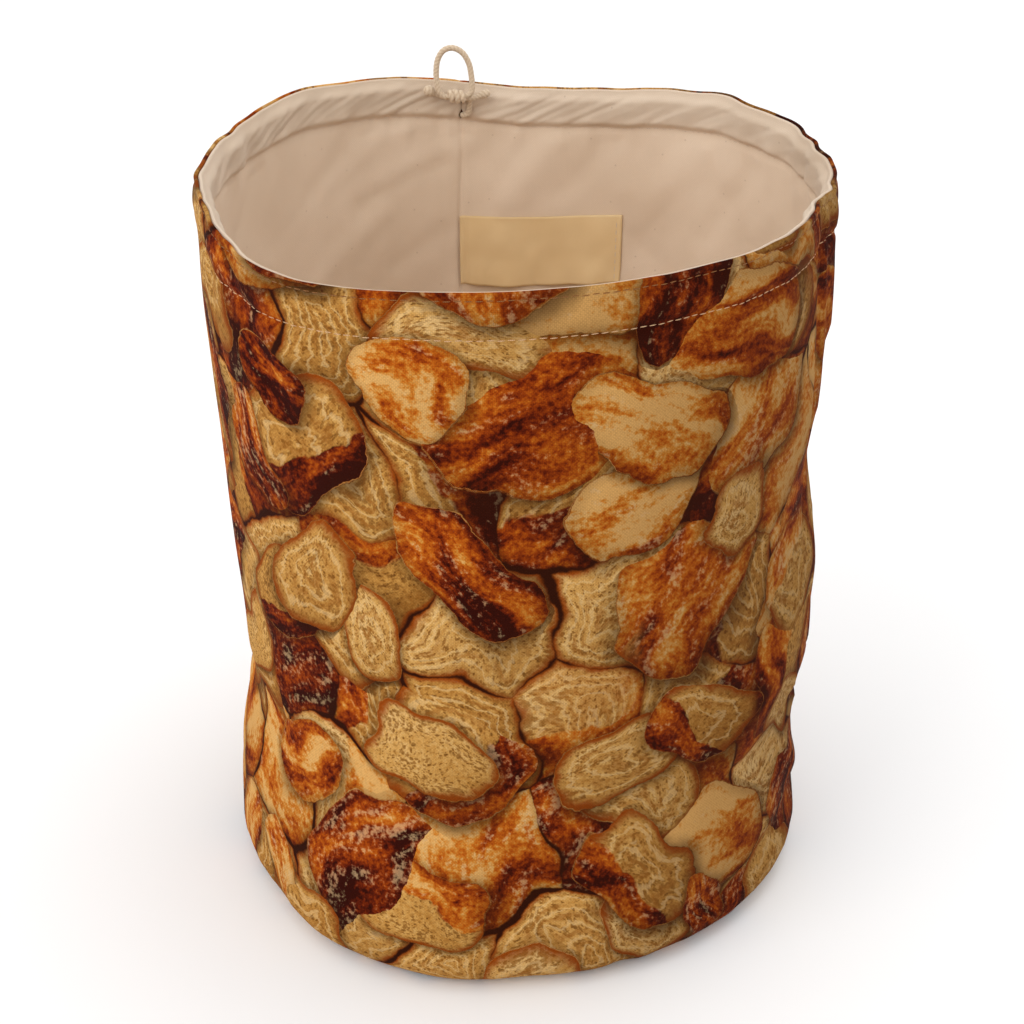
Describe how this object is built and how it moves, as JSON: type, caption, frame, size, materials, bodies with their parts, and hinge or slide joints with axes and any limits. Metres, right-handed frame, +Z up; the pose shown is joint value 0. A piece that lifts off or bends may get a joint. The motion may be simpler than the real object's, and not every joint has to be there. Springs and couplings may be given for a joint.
{
  "type": "drawcord bread bag",
  "caption": "Round cloth bread bag standing open, with a printed canvas outside, a cotton lining, a corded top casing and a tied cord loop.",
  "frame": {"origin": "centre of the bag's footprint, on the surface that it stands on", "axes": "+Z up through the open mouth, -Y towards the front, with the cord loop and the label at the back, on the +Y side"},
  "size_m": [0.2524, 0.2563, 0.3233],
  "materials": {
    "printed_canvas": "matt printed cotton canvas",
    "lining_cotton": "matt unbleached plain-weave cotton",
    "label_cloth": "smooth beige woven tape",
    "cotton_cord": "matt twisted cotton"
  },
  "bodies": {
    "root": {"outer_wall": "printed_canvas", "outer_base": "printed_canvas", "lining_wall": "lining_cotton", "lining_base": "lining_cotton", "label": "label_cloth", "cord_run": "cotton_cord", "cord_loop": "cotton_cord", "cord_knot": "cotton_cord", "tail_left": "cotton_cord", "tail_right": "cotton_cord"}
  },
  "joints": []
}
